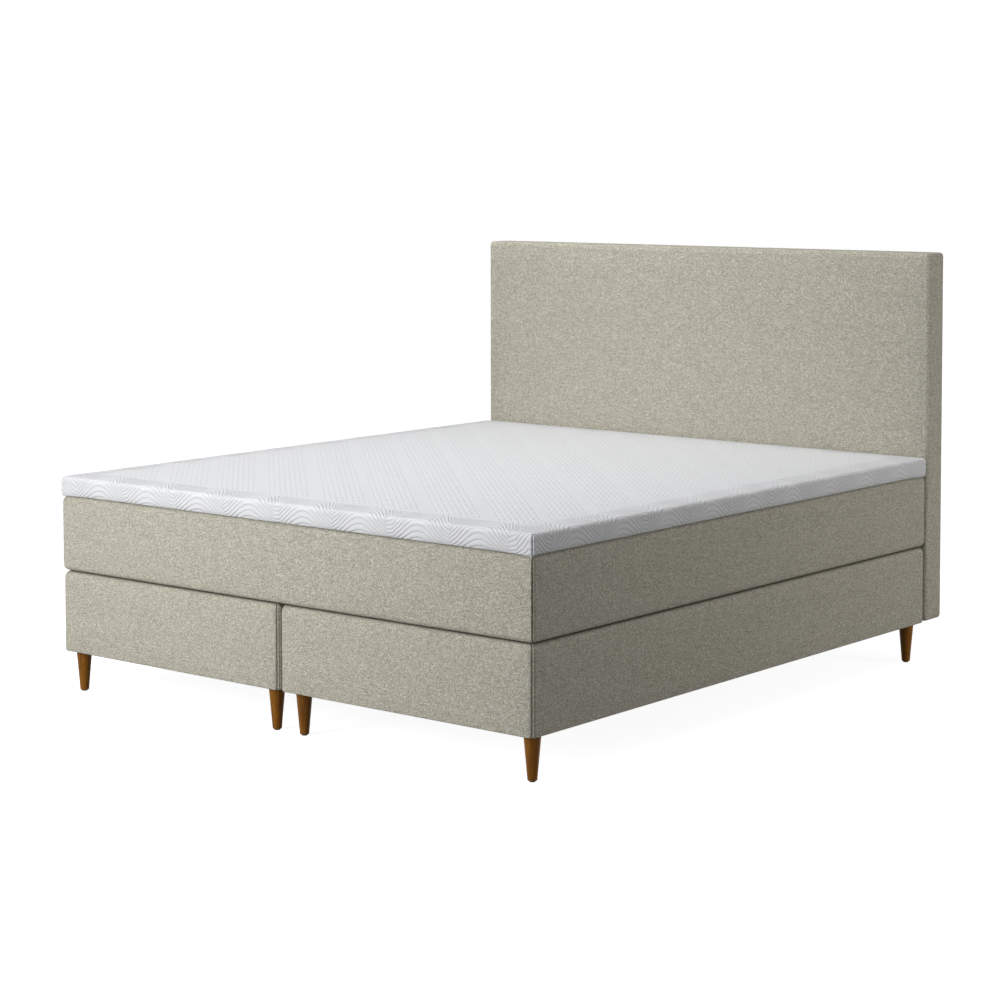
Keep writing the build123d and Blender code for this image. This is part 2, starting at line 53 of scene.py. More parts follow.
# Padded covers: rounding radii, and the spacing of the rings and grid lines
GRID = 0.022
LIP_STEP = 0.0015
BASE_CORNER = 0.020
BASE_TOP_ROUND = 0.020
BASE_BOTTOM_ROUND = 0.005
MATTRESS_CORNER = 0.009
MATTRESS_ROUND = 0.020
TOPPER_CORNER = 0.011
TOPPER_TOP_ROUND = 0.012
TOPPER_BOTTOM_ROUND = 0.026
TOPPER_BOTTOM_DEPTH = 0.012
HEADBOARD_CORNER = 0.013
HEADBOARD_ROUND = 0.013
HEADBOARD_BACK_ROUND = 0.003
ROUND_STEPS = 6
WALL_STEP = 0.018
SHARPEST = 0.0006
CORNER_STEPS = 8

# Cloth simulation, and the most that it may move each piece
CLOTH_FRAMES = 20
CLOTH_PRESSURE = 4.0
CLOTH_QUALITY = 4
CLOTH_MASS = 0.4
CLOTH_TENSION = 25
CLOTH_SHEAR = 8
CLOTH_BENDING = 3
MATTRESS_SWELL = 0.0035
BASE_SWELL = MATTRESS_SWELL * 0.75
HEADBOARD_SWELL = 0.0024
TOPPER_SWELL = 0.001

# How far the topper and the headboard's cover start inside their solids
TOPPER_INSET = 0.003
HEADBOARD_INSET = 0.001

# Seams: each upright corner has one in its middle, and a topstitched row beside it towards the
# side face. The columns are distances from the seam, round the corner and along the side.
SEAM_COLUMNS = (-0.0030, -0.0012, 0.0, 0.0012, 0.0030, 0.0056, 0.0070, 0.0084, 0.0105)
SEAM_WIDTH = 0.0017
SEAM_DEPTH = 0.0042
TOPSTITCH_PLACE = 0.0070
TOPSTITCH_NEAR = 0.0002
TOPSTITCH_DEPTH = 0.0016
# Painted shade: how dark the topstitching and the bases' corner seams are painted, and how wide the
# painted shade of the creases is
TOPSTITCH_SHADE = 0.4
BASE_SEAM_SHADE = 0.45
CREASE_SHADE_WIDTH = 0.0026
STITCH_PITCH = 0.0062
STITCH_LENGTH = 0.0044
STITCH_RADIUS = 0.00045
STITCH_SIDES = 6
STITCH_RINGS = ((0, 0.35), (0.2, 1), (0.8, 1), (1, 0.35))
SEAM_END_RINGS = 3

# Flat cloths let into the faces: how far in from the edge, and how deep
PLATFORM_LIP = 0.110
PLATFORM_DIP = 0.0034
LINING_LIP = 0.024
LINING_DIP = 0.0018
PANEL_LIP = 0.028
PANEL_DIP = 0.0045
BACK_LIP = 0.026

# Broad unevenness of the walls
ROUGH_HEIGHT = 0.0008
ROUGH_SCALE = 0.17

# Upholstery cloth: pitches of its yarns, lengths of their floats and slubs, and the tones
WEFT_PITCH = 0.0017
WARP_PITCH = 0.0020
WEFT_FLOAT = 0.0038
WARP_FLOAT = 0.0022
SLUB_LENGTH = 0.0240
YARN_WANDER = 0.0015
YARN_DARK = (0.330, 0.307, 0.238)
YARN_MIDDLE = (0.600, 0.575, 0.480)
YARN_LIGHT = (0.860, 0.835, 0.730)
SLUB_SEED = 7.3
SLUB_SHARE = 0.13
CLOUD_SHARE = 0.05
# Painted shade: the dark colour painted into the cloth's seams, topstitching and creases
PAINTED_SEAM_SHADE_COLOUR = (0.045, 0.040, 0.030)
CLOTH_BUMP = 0.0015

# Topper quilting: arches along the border, and slanting bands of dimples inside it
ARCH_WAVELENGTH = 0.208
ARCH_FROM_CORNER = 0.165
ARCH_HEIGHT = 0.070
ARCH_CROWDING = 0.6
ARCH_CUSP = 0.13
ARCH_SPACING = 0.0164
ARCH_LIMIT = 0.145
DIMPLE_PITCH = 0.0152
DIMPLE_ROW = 0.057
DIMPLE_BAND = 0.147
DIMPLE_DEPTH = 0.85
QUILT_BUMP = 0.0021
QUILT_COLOUR = (0.706, 0.713, 0.731)
# Painted shade: the colour painted into the quilting's grooves and dimples
QUILT_SHADOW = (0.40, 0.42, 0.47)

# Topper's shape: its crown, and the lower edge that hangs unevenly
TOPPER_CROWN = 0.004
TOPPER_CAD_CROWN = 0.005
CROWN_REACH = 0.07
HEM_DROOP = 0.0020
HEM_WAVE = 0.0022
HEM_WAVE_LENGTH = 0.085
HEM_SEED = 5
CORNER_SAG = 0.0105
CORNER_SAG_REACH = 0.070

# Screws of the plates that join the bases
SCREW_FROM_END = 0.022
SCREW_SPREAD = (0.0175, 0.011)
SCREW_RADIUS = 0.0044
SCREW_RISE = 0.0020

# Camera, fitted to the photograph
CAMERA_PLACE = (4.6959, -5.8136, 1.5966)
CAMERA_PITCH = -0.0583
CAMERA_YAW = 0.6740
CAMERA_LENS = 87.55
CAMERA_SHIFT = (-0.0296, -0.2000)
CAMERA_REACH = 60

# Light: softboxes before the foot, beyond the right side and above the bed, soft daylight and a dim
# even sky. Each softbox has its place, the point that it faces, its size, power and colour.
SOFTBOXES = {
    "key": ((-0.7, -3.8, 1.3), (0.0, 0.0, 0.6), 1.4, 82, (1.0, 1.0, 1.0)),
    "fill": ((3.7, 1.8, 0.8), (0.0, 0.1, 0.5), 1.0, 31, (1.0, 0.975, 0.94)),
    "overhead": ((-0.5, -0.3, 3.5), (0.0, 0.9, 0.9), 1.6, 52, (1.0, 1.0, 1.0)),
}
DAYLIGHT_DIRECTION = (-0.12, -0.205, 0.97)
DAYLIGHT_STRENGTH = 0.45
DAYLIGHT_SOFTNESS = math.radians(60)
SKY_STRENGTH = 0.24

# Floor: its half size, the grey that lights the bed, and the grey and glow that are shown
FLOOR_SIZE = 30.0
FLOOR_COLOUR = 0.25
FLOOR_SHOWN_COLOUR = 0.45
FLOOR_GLOW = 0.92


# Mesh helpers


def mesh_object(name, points, faces):
    mesh = bpy.data.meshes.new(name)
    mesh.from_pydata([tuple(point) for point in points], [], faces)
    mesh.update()
    piece = bpy.data.objects.new(name, mesh)
    bpy.context.scene.collection.objects.link(piece)
    for polygon in mesh.polygons:
        polygon.use_smooth = True
    return piece


def rounded_profile(height, top_round, bottom_round, bottom_depth=None):
    """Insets and heights from the bottom face's edge, up the wall, to the top face's edge."""
    steps = np.linspace(0, math.pi / 2, ROUND_STEPS + 1)
    bottom_depth = bottom_depth or bottom_round
    low = [(bottom_depth * (1 - math.sin(a)), bottom_round * (1 - math.cos(a))) for a in steps]
    wall_low, wall_high = bottom_round, height - top_round
    count = max(2, round((wall_high - wall_low) / WALL_STEP))
    wall = [(0.0, wall_low + (wall_high - wall_low) * k / count) for k in range(1, count)]
    high = [(top_round * (1 - math.cos(a)), height - top_round * (1 - math.sin(a))) for a in steps]
    return low + wall + high


def shell_lines(inner, insets):
    """Grid lines across a face: evenly spaced, with a close pair at each lip for its step."""
    even = np.linspace(-inner, inner, round(2 * inner / GRID) + 1)
    lips = [
        side * (inner - inset - step)
        for side in (-1, 1)
        for inset in insets
        for step in (0, LIP_STEP)
    ]
    clear = [line for line in even if all(abs(line - lip) > 2 * LIP_STEP for lip in lips)]
    return np.array(sorted(clear + lips))


class Shell:
    """A closed padded form: rings round a rounded rectangle, and a gridded face at each end.

    vertex_rim is the distance up the wall from the bottom face's edge and on across the top face,
    and vertex_away the distances from the nearest corner's centre along X and Y. Lips are insets at
    which the faces have lines for a step.
    """

    def __init__(self, half_x, half_y, corner, profile, lips=(), seamed=True):
        self.half = np.array([half_x, half_y])
        self.corner = corner
        self.arc = corner * math.pi / 2
        self.inner = self.half - corner
        self.seamed = seamed
        self.lines = [shell_lines(inner, [lip - corner for lip in lips]) for inner in self.inner]
        self.profile = profile
        self.make_plan()
        self.make_points()

    def side_steps(self, side):
        """Distances along one straight side, each with the index of the grid line it is tied to."""
        lines = self.lines[1 - side % 2]
        length = lines[-1] - lines[0]
        steps = [(place - lines[0], k) for k, place in enumerate(lines[:-1])]
        half = self.arc / 2
        columns = [place - half for place in SEAM_COLUMNS if place > half + SHARPEST]
        if self.seamed and side % 2 == 0 and columns:
            last = len(lines) - 1
            seam = [(0.0, 0)] + [(place, 0) for place in columns]
            mirrored = [(length - place, last) for place in reversed(columns)]
            clear = [s for s in steps if 2 * columns[-1] < s[0] < length - 2 * columns[-1]]
            steps = seam + clear + mirrored
        return steps, length

    def corner_places(self):
        """Distances round a corner from its middle, towards the side face, in falling order."""
        half = self.arc / 2
        seams = [place for place in SEAM_COLUMNS if self.seamed and abs(place) < half - SHARPEST]
        even = np.linspace(-half, half, CORNER_STEPS + 1)[1:]
        clear = [place for place in even if all(abs(place - seam) > 2 * SHARPEST for seam in seams)]
        return sorted(set(clear) | set(seams) | {half}, reverse=True)

    def make_plan(self):
        """The points round the plan, side by side with the corner after each."""
        inner_x, inner_y = self.inner
        last_x, last_y = (len(lines) - 1 for lines in self.lines)
        starts = [
            (inner_x, -inner_y),
            (inner_x, inner_y),
            (-inner_x, inner_y),
            (-inner_x, -inner_y),
        ]
        aheads = [(0, 1), (-1, 0), (0, -1), (1, 0)]
        first_cells = [(last_x, 0), (last_x, last_y), (0, last_y), (0, 0)]
        core, angles, run, seam_gap, cells = [], [], [], [], []
        self.corner_runs = []
        travelled = 0.0
        for side in range(4):
            ahead = np.array(aheads[side])
            facing = side * math.pi / 2
            steps, length = self.side_steps(side)
            for distance, line in steps:
                core.append(np.array(starts[side]) + ahead * distance)
                angles.append(facing)
                run.append(travelled + distance)
                from_corner = min(distance, length - distance) + self.arc / 2
                seam_gap.append(from_corner if side % 2 == 0 else -length)
                cells.append(np.array(first_cells[side]) + ahead * line)
            travelled += length
            self.corner_runs.append(travelled + self.arc / 2)
            places = self.corner_places()
            if side % 2:
                places = [-self.arc / 2] + places[:0:-1]
            for place in places:
                turned = self.arc / 2 - place if side % 2 == 0 else place + self.arc / 2
                core.append(np.array(starts[(side + 1) % 4]))
                angles.append(facing + turned / self.corner)
                run.append(travelled + turned)
                seam_gap.append(place)
                cells.append(np.array(first_cells[(side + 1) % 4]))
            travelled += self.arc
        self.core = np.array(core)
        self.outward = np.stack([np.cos(angles), np.sin(angles)], axis=1)
        self.run = np.array(run)
        self.seam_gap = np.array(seam_gap)
        self.cells = np.array(cells)
        self.perimeter = travelled

    def outline(self, inset):
        """The plan's points at an inset. Corners keep their centres until it uses them up."""
        radius = max(self.corner - inset, SHARPEST)
        shrink = (self.half - inset - radius) / self.inner
        return self.core * shrink + radius * self.outward, shrink, radius

    def make_points(self):
        """The rings of the wall, then the grids of the bottom and the top face."""
        count = len(self.core)
        insets = [p[0] for p in self.profile]
        heights = [p[1] for p in self.profile]
        lengths = np.hypot(np.diff(insets), np.diff(heights))
        _, low_shrink, low_radius = self.outline(insets[0])
        _, high_shrink, high_radius = self.outline(insets[-1])
        rims = low_radius + np.concatenate([[0.0], np.cumsum(lengths)])
        rings = [
            np.column_stack([self.outline(inset)[0], np.full(count, height)])
            for inset, height in self.profile
        ]
        gx, gy = (g.ravel() for g in np.meshgrid(*self.lines))
        away = np.minimum(self.inner[0] - abs(gx), self.inner[1] - abs(gy))
        bottom, top = (
            np.column_stack([gx * shrink[0], gy * shrink[1], np.full_like(gx, height)])
            for shrink, height in ((low_shrink, heights[0]), (high_shrink, heights[-1]))
        )
        self.points = np.concatenate([*rings, bottom, top])
        self.first_bottom = count * len(rings)
        self.first_top = self.first_bottom + len(bottom)
        self.ring_rims = rims
        self.face_rim = rims[-1] + high_radius
        face_inset = away + self.corner
        self.inset = np.concatenate([np.repeat(insets, count), face_inset, face_inset])
        self.vertex_rim = np.concatenate([np.repeat(rims, count), -away, self.face_rim + away])
        on_faces = np.column_stack([gx, gy])
        flat = np.concatenate([np.tile(self.core, (len(insets), 1)), on_faces, on_faces])
        self.vertex_away = self.inner - abs(flat)

    def cell_index(self, first, cell):
        return int(first + cell[1] * len(self.lines[0]) + cell[0])

    def faces(self):
        """Faces, and the place on the cloth of each of their corners."""
        count = len(self.core)
        faces, cloth = [], []

        def add(face, places):
            kept = [k for k in range(len(face)) if face[k] != face[k - 1]]
            faces.append([face[k] for k in kept])
            cloth.extend(places[k] for k in kept)

        for i in range(count):
            j = (i + 1) % count
            a, b = self.run[i], self.run[j] if j else self.perimeter
            for ring in range(len(self.profile) - 1):
                low, high = self.ring_rims[ring : ring + 2]
                here, above = ring * count, (ring + 1) * count
                face = (here + i, here + j, above + j, above + i)
                add(face, [(a, low), (b, low), (b, high), (a, high)])
            last = (len(self.profile) - 1) * count
            top_i, top_j = (self.cell_index(self.first_top, self.cells[k]) for k in (i, j))
            low_i, low_j = (self.cell_index(self.first_bottom, self.cells[k]) for k in (i, j))
            high, edge = self.ring_rims[-1], self.ring_rims[0]
            rim = self.face_rim
            add((last + i, last + j, top_j, top_i), [(a, high), (b, high), (b, rim), (a, rim)])
            add((low_i, low_j, j, i), [(a, 0), (b, 0), (b, edge), (a, edge)])
        for x in range(len(self.lines[0]) - 1):
            for y in range(len(self.lines[1]) - 1):
                square = [(x, y), (x + 1, y), (x + 1, y + 1), (x, y + 1)]
                for first, order in ((self.first_top, square), (self.first_bottom, square[::-1])):
                    face = [self.cell_index(first, cell) for cell in order]
                    add(face, [tuple(self.points[k][:2]) for k in face])
        return faces, cloth

    def wall_outward(self):
        """The level outward direction at each point of the rings, and none on the faces."""
        outward = np.zeros_like(self.points)
        outward[: self.first_bottom, :2] = np.tile(self.outward, (len(self.profile), 1))
        return outward

    def step_in(self, lip, dip, top):
        """Lowers the part of a face inside its lip, where a flat cloth is let in."""
        numbers = np.arange(len(self.points))
        on_top = numbers >= self.first_top
        on_bottom = (numbers >= self.first_bottom) & ~on_top
        inside = (on_top if top else on_bottom) & (self.inset > lip + LIP_STEP / 2)
        self.points[inside, 2] += -dip if top else dip

    def make(self, name, place, **values):
        """place maps the shell's points into the bed's frame. The material reads the values."""
        faces, cloth = self.faces()
        piece = mesh_object(name, place(self.points), faces)
        layer = piece.data.uv_layers.new(name="cloth")
        layer.data.foreach_set("uv", np.array(cloth, np.float32).ravel())
        for title, numbers in values.items():
            attribute = piece.data.attributes.new(title, "FLOAT", "POINT")
            attribute.data.foreach_set("value", numbers.astype(np.float32))
        return piece


def read_points(mesh):
    points = np.zeros(len(mesh.vertices) * 3)
    mesh.vertices.foreach_get("co", points)
    return points.reshape(-1, 3)


def write_points(mesh, points):
    mesh.vertices.foreach_set("co", points.ravel())
    mesh.update()


def swell(jobs):
    """Puffs each piece between its pinned places with a cloth simulation, and caps its moves.

    jobs are (piece, pinned weights, largest move). All pieces are simulated together.
    """
    scene = bpy.context.scene
    scene.frame_start, scene.frame_end = 1, CLOTH_FRAMES
    for piece, pinned, _ in jobs:
        group = piece.vertex_groups.new(name="pinned")
        for index in np.flatnonzero(pinned > 0):
            group.add([int(index)], float(pinned[index]), "REPLACE")
        cloth = piece.modifiers.new("cloth", "CLOTH")
        cloth.settings.quality = CLOTH_QUALITY
        cloth.settings.mass = CLOTH_MASS
        cloth.settings.tension_stiffness = CLOTH_TENSION
        cloth.settings.compression_stiffness = CLOTH_TENSION
        cloth.settings.shear_stiffness = CLOTH_SHEAR
        cloth.settings.bending_stiffness = CLOTH_BENDING
        cloth.settings.vertex_group_mass = "pinned"
        cloth.settings.use_pressure = True
        cloth.settings.uniform_pressure_force = CLOTH_PRESSURE
        cloth.settings.effector_weights.gravity = 0
        cloth.point_cache.frame_start, cloth.point_cache.frame_end = 1, CLOTH_FRAMES
    for number in range(1, CLOTH_FRAMES + 1):
        scene.frame_set(number)
    depsgraph = bpy.context.evaluated_depsgraph_get()
    moved = [read_points(piece.evaluated_get(depsgraph).data) for piece, _, _ in jobs]
    for (piece, _, largest), points in zip(jobs, moved):
        piece.modifiers.clear()
        piece.vertex_groups.clear()
        start = read_points(piece.data)
        move = points - start
        far = np.linalg.norm(move, axis=1)
        scale = largest * np.tanh(far / largest) / np.maximum(far, 1e-9)
        write_points(piece.data, start + move * scale[:, None])
    scene.frame_set(1)


def subdivide(piece):
    """Subdivides the piece once, with the result in its mesh."""
    modifier = piece.modifiers.new("subdivision", "SUBSURF")
    modifier.levels = modifier.render_levels = 1
    depsgraph = bpy.context.evaluated_depsgraph_get()
    mesh = bpy.data.meshes.new_from_object(piece.evaluated_get(depsgraph))
    piece.modifiers.clear()
    old = piece.data
    piece.data = mesh
    bpy.data.meshes.remove(old)


def tube_faces(first, rings, sides):
    """Faces of a closed tube, from the number of its first point."""
    faces = []
    for ring in range(rings - 1):
        for turn in range(sides):
            k, n = first + ring * sides + turn, first + ring * sides + (turn + 1) % sides
            faces.append((k, n, n + sides, k + sides))
    last = first + (rings - 1) * sides
    faces.append(tuple(range(first + sides - 1, first - 1, -1)))
    faces.append(tuple(range(last, last + sides)))
    return faces


def stitches(name, paths):
    """A row of short sewn stitches along each path."""
    points, faces = [], []
    for path in paths:
        gaps = [(Vector(b) - Vector(a)).length for a, b in zip(path, path[1:])]
        ends = np.concatenate([[0], np.cumsum(gaps)])
        path = np.array(path)
        for start in np.arange(0, ends[-1] - STITCH_LENGTH, STITCH_PITCH):
            a, b = (
                Vector([np.interp(at, ends, path[:, k]) for k in range(3)])
                for at in (start, start + STITCH_LENGTH)
            )
            along = (b - a).normalized()
            side = along.orthogonal().normalized()
            up = along.cross(side)
            first = len(points)
            for share, width in STITCH_RINGS:
                middle = a.lerp(b, share)
                for turn in range(STITCH_SIDES):
                    angle = turn * 2 * math.pi / STITCH_SIDES
                    offset = math.cos(angle) * side + math.sin(angle) * up
                    points.append(middle + offset * width * STITCH_RADIUS)
            faces += tube_faces(first, len(STITCH_RINGS), STITCH_SIDES)
    return mesh_object(name, points, faces)


def turned(name, places, profile, sides=16):
    """Small round pieces: radii and heights turned about an upright axis at each place."""
    points, faces = [], []
    for place in places:
        first = len(points)
        for radius, height in profile:
            for turn in range(sides):
                angle = 2 * math.pi * turn / sides
                across = (radius * math.cos(angle), radius * math.sin(angle), height)
                points.append(tuple(start + step for start, step in zip(place, across)))
        faces += tube_faces(first, len(profile), sides)
    return mesh_object(name, points, faces)


def slow_noise(points, scale, seed):
    """Smooth noise from -1 to 1 at each point, for broad unevenness."""
    shift = Vector((seed * 3.1, seed * 1.7, seed * 2.3))
    return np.array([noise.noise(Vector(p) / scale + shift) for p in points])


# Materials


class Nodes:
    """A material's node tree, with short ways to add and link nodes."""

    def __init__(self, name):
        self.material = bpy.data.materials.new(name)
        self.material.use_nodes = True
        self.tree = self.material.node_tree
        self.shader = self.tree.nodes["Principled BSDF"]

    def add(self, kind, inputs=None, **settings):
        made = self.tree.nodes.new("ShaderNode" + kind)
        for key, value in settings.items():
            setattr(made, key, value)
        for key, value in (inputs or {}).items():
            self.put(made.inputs[key], value)
        return made

    def put(self, socket, value):
        if isinstance(value, bpy.types.NodeSocket):
            self.tree.links.new(value, socket)
        else:
            socket.default_value = value

    def maths(self, operation, *values):
        made = self.tree.nodes.new("ShaderNodeMath")
        made.operation = operation
        for socket, value in zip(made.inputs, values):
            self.put(socket, value)
        return made.outputs[0]

    def step(self, value, low, high, to_low=0.0, to_high=1.0):
        """A smooth step from to_low to to_high, while the value goes from low to high."""
        ends = {"From Min": low, "From Max": high, "To Min": to_low, "To Max": to_high}
        made = self.add("MapRange", {"Value": value, **ends}, interpolation_type="SMOOTHSTEP")
        return made.outputs["Result"]

    def scaled(self, vector, scale):
        made = self.add("Mapping", {"Vector": vector, "Scale": scale})
        return made.outputs["Vector"]

    def noise(self, vector, detail=2.0, roughness=0.5):
        inputs = {"Vector": vector, "Scale": 1.0, "Detail": detail, "Roughness": roughness}
        return self.add("TexNoise", inputs).outputs["Fac"]

    def yarns(self, along, across, pitch, length, seed=0.0):
        """A random tone for each float of each yarn, where the yarns run along, a pitch apart."""
        yarn = self.maths("FLOOR", self.maths("DIVIDE", across, pitch))
        number = self.maths("ADD", yarn, seed + 0.5)
        start = self.add("TexWhiteNoise", {"W": number}, noise_dimensions="1D").outputs["Value"]
        place = self.maths("MULTIPLY_ADD", start, 9.0, self.maths("DIVIDE", along, length))
        cell = self.add("CombineXYZ", {"X": self.maths("FLOOR", place), "Y": yarn, "Z": seed})
        tone = self.add("TexWhiteNoise", {"Vector": cell.outputs[0]}, noise_dimensions="3D")
        return tone.outputs["Value"]

    def ramp(self, value, stops):
        made = self.add("ValToRGB", {"Fac": value})
        while len(made.color_ramp.elements) < len(stops):
            made.color_ramp.elements.new(0.5)
        for element, (place, colour) in zip(made.color_ramp.elements, stops):
            element.position = place
            element.color = (*colour, 1)
        return made.outputs["Color"]

    def mixed(self, factor, first, second):
        """A mix of two colours. The node takes them at sockets 6 and 7, and gives it at 2."""
        made = self.add("Mix", data_type="RGBA")
        self.put(made.inputs[0], factor)
        self.put(made.inputs[6], first if not isinstance(first, tuple) else (*first, 1))
        self.put(made.inputs[7], second if not isinstance(second, tuple) else (*second, 1))
        return made.outputs[2]

    def bump(self, height, distance, strength=1.0, below=None):
        made = self.add("Bump", {"Height": height, "Distance": distance, "Strength": strength})
        if below is not None:
            self.put(made.inputs["Normal"], below)
        return made.outputs["Normal"]

    def finish(self, colour, roughness, normal=None, **sockets):
        if isinstance(colour, tuple):
            colour = (*colour, 1)
        self.put(self.shader.inputs["Base Color"], colour)
        self.put(self.shader.inputs["Roughness"], roughness)
        if normal is not None:
            self.put(self.shader.inputs["Normal"], normal)
        for key, value in sockets.items():
            self.shader.inputs[key.replace("_", " ")].default_value = value
        return self.material


def melange_material(name):
    """Flat-woven upholstery: yarns in short floats of many tones, and slubs along the weft. The
    seams and creases are painted darker, as painted shade.
    """
    m = Nodes(name)
    cloth = m.add("UVMap", uv_map="cloth").outputs["UV"]
    wander = m.add("TexNoise", {"Vector": cloth, "Scale": 310.0, "Detail": 2.0}).outputs["Color"]
    wander = m.add("VectorMath", {0: wander, 1: (0.5,) * 3}, operation="SUBTRACT").outputs[0]
    wander = m.add("VectorMath", {0: wander, "Scale": YARN_WANDER}, operation="SCALE").outputs[0]
    woven = m.add("VectorMath", {0: cloth, 1: wander}, operation="ADD").outputs[0]
    along_weft, along_warp, _ = m.add("SeparateXYZ", {"Vector": woven}).outputs
    weft = m.yarns(along_weft, along_warp, WEFT_PITCH, WEFT_FLOAT)
    warp = m.yarns(along_warp, along_weft, WARP_PITCH, WARP_FLOAT)
    slub = m.yarns(along_weft, along_warp, WEFT_PITCH, SLUB_LENGTH, SLUB_SEED)
    clouds = m.noise(m.scaled(cloth, (9, 12, 1)), detail=3)
    weft_wave = m.maths("SINE", m.maths("MULTIPLY", along_warp, math.pi / WEFT_PITCH))
    warp_wave = m.maths("SINE", m.maths("MULTIPLY", along_weft, math.pi / WARP_PITCH))
    weave = m.maths("MULTIPLY", weft_wave, warp_wave)
    on_top = m.step(weave, -0.45, 0.05)
    weft_shown = m.maths("MULTIPLY", weft, on_top)
    warp_shown = m.maths("MULTIPLY", warp, m.maths("SUBTRACT", 1.0, on_top))
    tone = m.maths("MULTIPLY", m.maths("ADD", weft_shown, warp_shown), 1.0 - SLUB_SHARE)
    tone = m.maths("ADD", tone, m.maths("MULTIPLY", slub, SLUB_SHARE))
    tone = m.maths("MULTIPLY_ADD", m.maths("SUBTRACT", clouds, 0.5), CLOUD_SHARE, tone)
    colour = m.ramp(tone, [(0.06, YARN_DARK), (0.50, YARN_MIDDLE), (0.94, YARN_LIGHT)])
    # Painted shade in the corner seams, the topstitching and the creases against the next piece,
    # read from the seam attribute
    seam = m.add("Attribute", attribute_name="seam").outputs["Fac"]
    colour = m.mixed(m.maths("MULTIPLY", seam, 0.85), colour, PAINTED_SEAM_SHADE_COLOUR)
    weft_wave, warp_wave = (m.maths("ABSOLUTE", wave) for wave in (weft_wave, warp_wave))
    round_yarns = m.maths("MAXIMUM", weft_wave, warp_wave)
    height = m.maths("MULTIPLY_ADD", round_yarns, 0.5, m.maths("MULTIPLY", tone, 2.2))
    sheen = {"Sheen_Weight": 0.12, "Sheen_Roughness": 0.5, "Sheen_Tint": (1.0, 0.93, 0.78, 1)}
    normal = m.bump(height, CLOTH_BUMP, 0.9)
    return m.finish(colour, 0.95, normal, Specular_IOR_Level=0.08, **sheen)


def quilt_material(name):
    """White knitted quilting: nested arches round the border, and slanting bands of dimples, with
    painted shade in the arches' grooves and in the dimples.
    """
    m = Nodes(name)
    cloth = m.add("UVMap", uv_map="cloth").outputs["UV"]
    rim = m.add("Attribute", attribute_name="rim").outputs["Fac"]
    swing = m.add("Attribute", attribute_name="swing").outputs["Fac"]
    uneven = m.noise(m.scaled(cloth, (9, 9, 1)))
    warp = m.maths("MULTIPLY", m.maths("SUBTRACT", uneven, 0.5), 0.008)
    toward_crest = m.maths("SQRT", m.maths("SUBTRACT", 1.0 + ARCH_CUSP**2, swing))
    valley = m.maths("SUBTRACT", math.sqrt(1.0 + ARCH_CUSP**2), toward_crest)
    crowding = m.maths("MULTIPLY_ADD", valley, ARCH_CROWDING, 1.0)
    rise = m.maths("MULTIPLY_ADD", rim, crowding, warp)
    level = m.maths("MULTIPLY_ADD", valley, ARCH_HEIGHT, rise)
    lines = m.maths("COSINE", m.maths("MULTIPLY", level, 2 * math.pi / ARCH_SPACING))
    lines = m.maths("POWER", m.maths("MULTIPLY_ADD", lines, 0.5, 0.5), 3.0)
    near_rim = m.step(rim, ARCH_LIMIT - 0.010, ARCH_LIMIT + 0.006, 1.0, 0.0)
    arches = m.maths("MULTIPLY", m.maths("SUBTRACT", 1.0, lines), near_rim)

    parts = m.add("SeparateXYZ", {"Vector": cloth}).outputs
    half = math.sqrt(0.5)
    across = m.maths("MULTIPLY", m.maths("ADD", parts[0], parts[1]), half)
    along = m.maths("MULTIPLY", m.maths("SUBTRACT", parts[1], parts[0]), half)
    band_share = m.maths("FRACT", m.maths("DIVIDE", across, DIMPLE_BAND))
    squares = []
    for distance, pitch, narrowing in ((across, DIMPLE_PITCH, 3.0), (along, DIMPLE_ROW, 3.4)):
        off = m.maths("SUBTRACT", m.maths("FRACT", m.maths("DIVIDE", distance, pitch)), 0.5)
        squares.append(m.maths("POWER", m.maths("MULTIPLY", off, narrowing), 2.0))
    from_middle = m.maths("SQRT", m.maths("ADD", *squares))
    dimple = m.step(from_middle, 0.25, 1.0, 1.0, 0.0)
    past_start = m.step(band_share, 0.02, 0.06)
    before_end = m.step(band_share, 0.84, 0.88, 1.0, 0.0)
    in_band = m.maths("MULTIPLY", past_start, before_end)
    inside = m.step(rim, ARCH_LIMIT + 0.004, ARCH_LIMIT + 0.02)
    dimples = m.maths("MULTIPLY", m.maths("MULTIPLY", dimple, in_band), inside)
    band_swell = m.maths("SINE", m.maths("MULTIPLY", band_share, math.pi))
    band_swell = m.maths("MULTIPLY", band_swell, inside)

    height = m.maths("SUBTRACT", arches, m.maths("MULTIPLY", dimples, DIMPLE_DEPTH))
    height = m.maths("ADD", height, m.maths("MULTIPLY", band_swell, 0.5))
    knit = m.noise(m.scaled(cloth, (420, 420, 1)), detail=1)
    soft = m.noise(m.scaled(cloth, (16, 16, 1)), detail=3)
    below = m.bump(knit, 0.0004, 0.5)
    below = m.bump(soft, 0.004, 0.5, below)
    normal = m.bump(height, QUILT_BUMP, 0.9, below)
    # Painted shade: the arches' grooves and the dimples are painted darker
    painted_groove_shade = m.maths("MULTIPLY", lines, near_rim)
    shade = m.mixed(m.maths("MULTIPLY", painted_groove_shade, 0.13), QUILT_COLOUR, QUILT_SHADOW)
    shade = m.mixed(m.maths("MULTIPLY", dimples, 0.08), shade, QUILT_SHADOW)
    return m.finish(shade, 0.85, normal, Sheen_Weight=0.2, Specular_IOR_Level=0.25)


def darker(colour, share):
    return tuple(part * share for part in colour)


